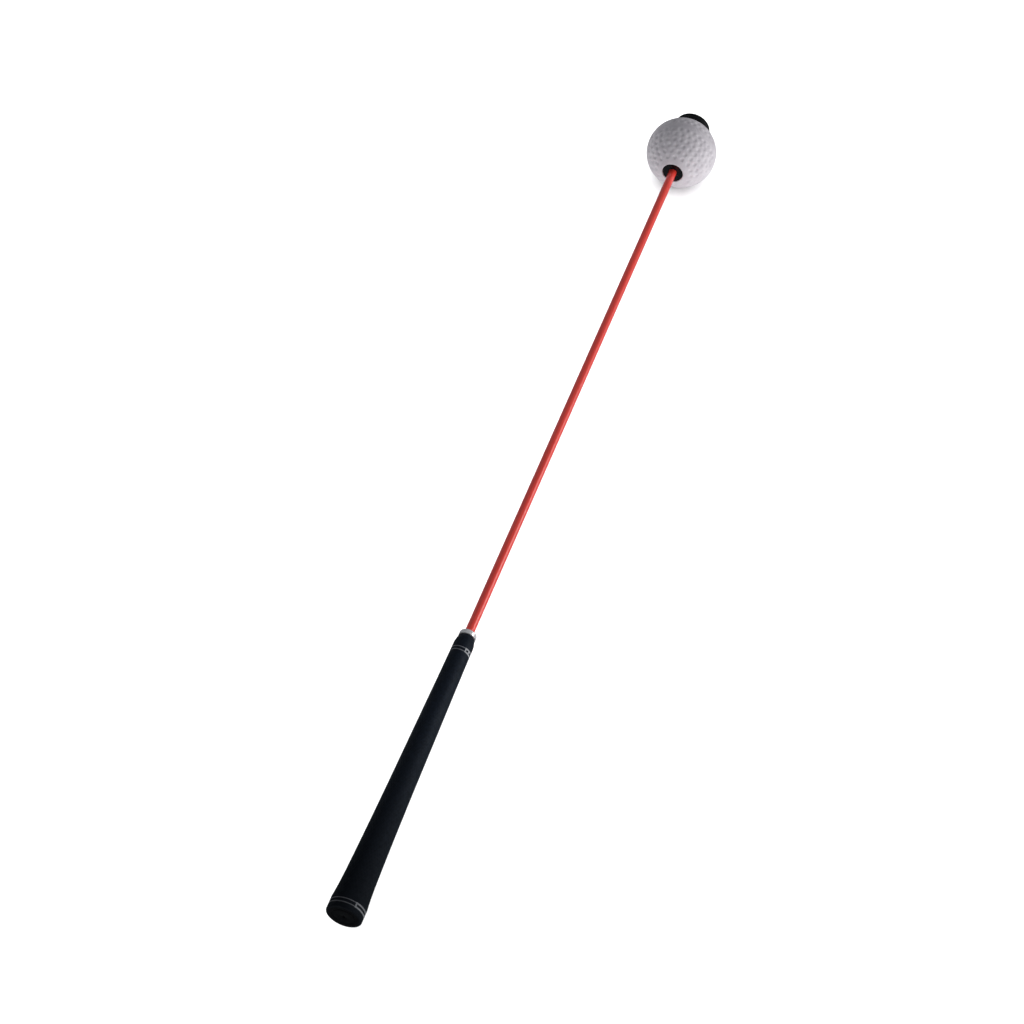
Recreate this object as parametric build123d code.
"""Swing trainer stick: a red rod with a rubber grip at one end and a ball that slides and spins on it.

Frame: millimetres. The stick's axis is +Y, +Z is up, and the origin is the centre of the butt's end
face. Every piece is turned about the axis, so most of them are a (radius, y) outline revolved round Y.
"""
import math
import os

from build123d import *

# ---- driving dimensions ---------------------------------------------------------------------------
GRIP_LENGTH = 272.0          # butt face to grip mouth
BUTT_DIAMETER = 28.6         # the widest part of the grip
MOUTH_DIAMETER = 16.9        # the grip just before its domed end
ROD_DIAMETER = 7.9           # 5/16 in glass fibre rod
BALL_DIAMETER = 69.5
BALL_CENTRE_Y = 917.4        # where the ball rests, against the bumper
BUMPER_DIAMETER = 36.0
STICK_LENGTH = 960.0

# ---- fits -----------------------------------------------------------------------------------------
STOP_GAP = 0.3               # left between the ball's bush and each stop, and at other free faces
SLIDE_CLEARANCE = 0.08       # radial, liner on rod
SPIN_CLEARANCE = 0.05        # radial, ball core on liner

# ---- handle ---------------------------------------------------------------------------------------
RIM_ROUND = 1.4              # rounding of the butt's outer edge
BAND_LENGTH = 12.0           # the straight band at the butt, before the taper starts
TAPER_SHAPE = [(45.0, 24.8), (110.0, 21.5), (190.0, 18.9)]   # (y, diameter) down the grip
DOME_LENGTH = 9.0
DOME_END_DIAMETER = 12.8
DOME_EDGE_ROUND = 0.7
LINE_WIDTH = 1.0             # the painted rings sit in shallow grooves of this width
LINE_DEPTH = 0.25
BUTT_LINES = (4.6, 7.8)      # y of the two rings on the butt band
MOUTH_LINES = (253.7, 256.9)
CAP_DIAMETER = 24.0
CAP_THICKNESS = 4.0
TUBE_DIAMETER = 11.1         # 7/16 in tube
TUBE_BORE = 9.3
TAPE_THICKNESS = 0.2
TAPE_START, TAPE_END = 8.0, 262.0
PLUG_HEAD = 2.0
PLUG_DEPTH = 10.0
FERRULE_DIAMETER = 14.8
FERRULE_FLANGE = 4.8
FERRULE_ROUND = 1.8
FERRULE_SPIGOT = 14.0

# ---- rod and tip ----------------------------------------------------------------------------------
ROD_START_Y = 196.0          # the rod reaches this far down inside the tube
SOCKET_FLOOR = 6.0
SOCKET_DEPTH = 18.0
ROD_END_Y = 955.2
INSERT_DIAMETER = 5.6
INSERT_LENGTH = 14.0
SCREW_SHANK = 3.4            # M4 at the root of its thread
SCREW_REACH = 11.0
SCREW_HEAD_DIAMETER = 7.4
SCREW_HEAD_HEIGHT = 2.4
HEX_KEY = 2.5                # across flats
HEX_DEPTH = 1.5
WASHER_DIAMETER = 18.0
WASHER_THICKNESS = 1.0
NOSE_DIAMETER = 18.6         # the raised pad that the ball's bush knocks against
NOSE_HEIGHT = 1.7
BUMPER_ROUND = 2.0
BUMPER_NEAR_ROUND = 1.2
PLUG_RECESS = 0.3            # the tip plug stands this far below the bumper's face
PLUG_DISC = 1.0
PLUG_WALL = 1.5

# ---- ball -----------------------------------------------------------------------------------------
BUSH_DIAMETER = 20.8
BUSH_FACE = 32.3             # from the ball's centre to the outer face of each bush
BUSH_LENGTH = 10.3
BUSH_WALL = 1.4
BUSH_CHAMFER = 0.5
CORE_DIAMETER = 17.0
LINER_DIAMETER = 11.0
MAGNET_BORE = 12.0
MAGNET_THICKNESS = 5.0
POLE_WASHER = 1.0

# ---- worked out -----------------------------------------------------------------------------------
ROD_RADIUS = ROD_DIAMETER / 2
TUBE_RADIUS = TUBE_DIAMETER / 2
TAPE_RADIUS = TUBE_RADIUS + TAPE_THICKNESS
FERRULE_END_Y = GRIP_LENGTH + FERRULE_FLANGE
BUSH_BORE_RADIUS = ROD_RADIUS + STOP_GAP
CORE_BORE_RADIUS = LINER_DIAMETER / 2 + SPIN_CLEARANCE
NOSE_FACE_Y = BALL_CENTRE_Y + BUSH_FACE + STOP_GAP
HEAD_SEAT_Y = ROD_END_Y + WASHER_THICKNESS
PLUG_FACE_Y = STICK_LENGTH - PLUG_RECESS


def turned(outline):
    """Revolve a closed outline of (radius, y) points round the stick's axis."""
    return revolve(make_face(Polyline(*outline, close=True)), Axis.Y, 360)


def ring(start_y, end_y, outer_radius, inner_radius=0.0):
    """A plain ring, or a disc when it has no inner radius."""
    return turned([
        (inner_radius, start_y),
        (outer_radius, start_y),
        (outer_radius, end_y),
        (inner_radius, end_y),
    ])


def rim(solid, y, radius):
    """The circular edges of a turned solid at one height and radius."""
    def matches(edge):
        point = edge.position_at(0)
        return abs(point.Y - y) < 1e-4 and abs(math.hypot(point.X, point.Z) - radius) < 1e-4

    return solid.edges().filter_by(GeomType.CIRCLE).filter_by(matches)


def flipped(solid):
    """The same solid turned end for end about the ball's centre."""
    return solid.mirror(Plane.XZ.offset(-BALL_CENTRE_Y))


# ---- handle pieces --------------------------------------------------------------------------------
def grip_radius_line():
    """The outline of the grip from the butt band to the start of the dome."""
    start = (BUTT_DIAMETER / 2, BAND_LENGTH)
    middle = [(diameter / 2, y) for y, diameter in TAPER_SHAPE]
    end = (MOUTH_DIAMETER / 2, GRIP_LENGTH - DOME_LENGTH)
    return Spline(start, *middle, end, tangents=[(-0.11, 1.0), (-0.005, 1.0)])


def grip_sleeve():
    """Moulded rubber sleeve: flared butt, long taper, domed mouth, and grooves for the painted rings."""
    taper = grip_radius_line()
    dome = TangentArc(taper @ 1, (DOME_END_DIAMETER / 2, GRIP_LENGTH), tangent=(-0.005, 1.0))
    inside = Polyline(
        dome @ 1,
        (TUBE_RADIUS, GRIP_LENGTH),
        (TUBE_RADIUS, TAPE_END),
        (TAPE_RADIUS, TAPE_END),
        (TAPE_RADIUS, TAPE_START),
        (TUBE_RADIUS, TAPE_START),
        (TUBE_RADIUS, CAP_THICKNESS),
        (CAP_DIAMETER / 2, CAP_THICKNESS),
        (CAP_DIAMETER / 2, 0.0),
        (BUTT_DIAMETER / 2, 0.0),
        taper @ 0,
    )
    sleeve = revolve(make_face([taper, dome, inside]), Axis.Y, 360)
    sleeve = fillet(rim(sleeve, 0.0, BUTT_DIAMETER / 2), RIM_ROUND)
    sleeve = fillet(rim(sleeve, GRIP_LENGTH, DOME_END_DIAMETER / 2), DOME_EDGE_ROUND)
    for y in BUTT_LINES:
        sleeve -= line_groove(y, BUTT_DIAMETER / 2)
    for y in MOUTH_LINES:
        sleeve -= line_groove(y, MOUTH_DIAMETER / 2 + LINE_DEPTH / 4)
    return sleeve


def line_groove(y, radius):
    """The ring of rubber that a painted line's groove takes away."""
    return ring(y - LINE_WIDTH / 2, y + LINE_WIDTH / 2, radius + LINE_DEPTH, radius - LINE_DEPTH)


def grip_end_cap():
    """Disc bonded into the butt, flush with its rim."""
    return ring(0.0, CAP_THICKNESS, CAP_DIAMETER / 2)


def grip_tape():
    """Double-sided tape that holds the rubber on the tube."""
    return ring(TAPE_START, TAPE_END, TAPE_RADIUS, TUBE_RADIUS)


def handle_tube():
    """Steel tube that stiffens the grip and carries the rod."""
    return ring(CAP_THICKNESS + PLUG_HEAD, GRIP_LENGTH, TUBE_RADIUS, TUBE_BORE / 2)


def tube_end_plug():
    """Plastic plug that closes the tube, so that its edge doesn't cut the end cap."""
    head_end = CAP_THICKNESS + PLUG_HEAD
    return turned([
        (0.0, CAP_THICKNESS),
        (TUBE_RADIUS, CAP_THICKNESS),
        (TUBE_RADIUS, head_end),
        (TUBE_BORE / 2, head_end),
        (TUBE_BORE / 2, head_end + PLUG_DEPTH),
        (0.0, head_end + PLUG_DEPTH),
    ])


def rod_socket_bush():
    """Plastic cup inside the tube that centres the rod's lower end."""
    floor_y = ROD_START_Y - SOCKET_FLOOR
    top_y = ROD_START_Y + SOCKET_DEPTH
    return turned([
        (0.0, floor_y),
        (TUBE_BORE / 2, floor_y),
        (TUBE_BORE / 2, top_y),
        (ROD_RADIUS, top_y),
        (ROD_RADIUS, ROD_START_Y),
        (0.0, ROD_START_Y),
    ])


def mouth_ferrule():
    """Bright steel collar at the grip's mouth: it centres the rod and is the ball's near stop."""
    collar = turned([
        (ROD_RADIUS, GRIP_LENGTH - FERRULE_SPIGOT),
        (TUBE_BORE / 2, GRIP_LENGTH - FERRULE_SPIGOT),
        (TUBE_BORE / 2, GRIP_LENGTH),
        (FERRULE_DIAMETER / 2, GRIP_LENGTH),
        (FERRULE_DIAMETER / 2, FERRULE_END_Y),
        (ROD_RADIUS, FERRULE_END_Y),
    ])
    return fillet(rim(collar, FERRULE_END_Y, FERRULE_DIAMETER / 2), FERRULE_ROUND)


# ---- rod and tip pieces ---------------------------------------------------------------------------
def rod():
    """Glass fibre rod, drilled at its tip for the threaded insert."""
    bar = ring(ROD_START_Y, ROD_END_Y, ROD_RADIUS)
    return bar - ring(ROD_END_Y - INSERT_LENGTH, ROD_END_Y, INSERT_DIAMETER / 2)


def rod_tip_insert():
    """Brass insert glued into the rod's tip."""
    return ring(ROD_END_Y - INSERT_LENGTH, ROD_END_Y, INSERT_DIAMETER / 2, SCREW_SHANK / 2)


def bumper():
    """Rubber bumper that stops the ball, with a pocket for its washer and plug."""
    flange_y = NOSE_FACE_Y + NOSE_HEIGHT
    outer = BUMPER_DIAMETER / 2
    block = turned([
        (ROD_RADIUS, NOSE_FACE_Y),
        (NOSE_DIAMETER / 2, NOSE_FACE_Y),
        (NOSE_DIAMETER / 2, flange_y),
        (outer, flange_y),
        (outer, STICK_LENGTH),
        (WASHER_DIAMETER / 2, STICK_LENGTH),
        (WASHER_DIAMETER / 2, ROD_END_Y),
        (ROD_RADIUS, ROD_END_Y),
    ])
    block = fillet(rim(block, STICK_LENGTH, outer), BUMPER_ROUND)
    return fillet(rim(block, flange_y, outer), BUMPER_NEAR_ROUND)


def bumper_washer():
    """Steel washer that spreads the screw's pull over the rubber."""
    return ring(ROD_END_Y, HEAD_SEAT_Y, WASHER_DIAMETER / 2, SCREW_SHANK / 2)


def bumper_screw():
    """M4 socket screw that holds the bumper on the rod."""
    head_top = HEAD_SEAT_Y + SCREW_HEAD_HEIGHT
    screw = turned([
        (0.0, HEAD_SEAT_Y - SCREW_REACH),
        (SCREW_SHANK / 2, HEAD_SEAT_Y - SCREW_REACH),
        (SCREW_SHANK / 2, HEAD_SEAT_Y),
        (SCREW_HEAD_DIAMETER / 2, HEAD_SEAT_Y),
        (SCREW_HEAD_DIAMETER / 2, head_top),
        (0.0, head_top),
    ])
    top_plane = Plane((0, head_top, 0), x_dir=(1, 0, 0), z_dir=(0, 1, 0))
    socket = RegularPolygon(HEX_KEY / 2, 6, major_radius=False)
    return screw - extrude(top_plane * socket, -HEX_DEPTH)


def bumper_plug():
    """Press-in plug that hides the screw, a disc with a short skirt."""
    outer = WASHER_DIAMETER / 2
    disc_y = PLUG_FACE_Y - PLUG_DISC
    return turned([
        (0.0, disc_y),
        (outer - PLUG_WALL, disc_y),
        (outer - PLUG_WALL, HEAD_SEAT_Y),
        (outer, HEAD_SEAT_Y),
        (outer, PLUG_FACE_Y),
        (0.0, PLUG_FACE_Y),
    ])


# ---- ball pieces ----------------------------------------------------------------------------------
def ball_shell():
    """Foam ball, bored right through for its core and counterbored for the two bushes."""
    ball = Pos(0, BALL_CENTRE_Y, 0) * Sphere(BALL_DIAMETER / 2)
    ball -= ring(BALL_CENTRE_Y - BALL_DIAMETER, BALL_CENTRE_Y + BALL_DIAMETER, CORE_DIAMETER / 2)
    seat_y = BALL_CENTRE_Y - BUSH_FACE + BUSH_LENGTH
    seat = ring(BALL_CENTRE_Y - BALL_DIAMETER, seat_y, BUSH_DIAMETER / 2)
    return ball - seat - flipped(seat)


def core_tube():
    """Plastic tube glued through the foam: the ball turns with it on the liner."""
    start_y = BALL_CENTRE_Y - BUSH_FACE + BUSH_WALL + MAGNET_THICKNESS + POLE_WASHER
    end_y = BALL_CENTRE_Y + BUSH_FACE - BUSH_WALL
    return ring(start_y, end_y, CORE_DIAMETER / 2, CORE_BORE_RADIUS)


def guide_bush():
    """Black cup at the ball's grip side: its face keeps the liner in, its skirt holds the core."""
    face_y = BALL_CENTRE_Y - BUSH_FACE
    wall_y = face_y + BUSH_WALL
    end_y = face_y + BUSH_LENGTH
    bush = turned([
        (BUSH_BORE_RADIUS, face_y),
        (BUSH_DIAMETER / 2, face_y),
        (BUSH_DIAMETER / 2, end_y),
        (CORE_DIAMETER / 2, end_y),
        (CORE_DIAMETER / 2, wall_y),
        (BUSH_BORE_RADIUS, wall_y),
    ])
    bush = chamfer(rim(bush, face_y, BUSH_DIAMETER / 2), BUSH_CHAMFER)
    return chamfer(rim(bush, face_y, BUSH_BORE_RADIUS), BUSH_CHAMFER)


def ring_magnet():
    """Ring magnet behind the lower bush: it holds the ball on the steel collar at the grip."""
    start_y = BALL_CENTRE_Y - BUSH_FACE + BUSH_WALL
    return ring(start_y, start_y + MAGNET_THICKNESS, CORE_DIAMETER / 2, MAGNET_BORE / 2)


def magnet_pole_washer():
    """Steel washer that backs the magnet."""
    start_y = BALL_CENTRE_Y - BUSH_FACE + BUSH_WALL + MAGNET_THICKNESS
    return ring(start_y, start_y + POLE_WASHER, CORE_DIAMETER / 2, MAGNET_BORE / 2)


def slide_liner():
    """Nylon sleeve that slides on the rod, captive between the two bush faces."""
    reach = BUSH_FACE - BUSH_WALL - STOP_GAP
    return ring(
        BALL_CENTRE_Y - reach,
        BALL_CENTRE_Y + reach,
        LINER_DIAMETER / 2,
        ROD_RADIUS + SLIDE_CLEARANCE,
    )


PIECES = {
    "grip_sleeve": grip_sleeve(),
    "grip_end_cap": grip_end_cap(),
    "grip_tape": grip_tape(),
    "handle_tube": handle_tube(),
    "tube_end_plug": tube_end_plug(),
    "rod_socket_bush": rod_socket_bush(),
    "mouth_ferrule": mouth_ferrule(),
    "rod": rod(),
    "rod_tip_insert": rod_tip_insert(),
    "bumper": bumper(),
    "bumper_washer": bumper_washer(),
    "bumper_screw": bumper_screw(),
    "bumper_plug": bumper_plug(),
    "ball_shell": ball_shell(),
    "core_tube": core_tube(),
    "lower_guide_bush": guide_bush(),
    "upper_guide_bush": flipped(guide_bush()),
    "ring_magnet": ring_magnet(),
    "magnet_pole_washer": magnet_pole_washer(),
    "slide_liner": slide_liner(),
}

os.makedirs("parts", exist_ok=True)
for name, solid in PIECES.items():
    export_step(solid, f"parts/{name}.step")

print("ball travel:", round(BALL_CENTRE_Y - BUSH_FACE - FERRULE_END_Y - STOP_GAP, 3), "mm")
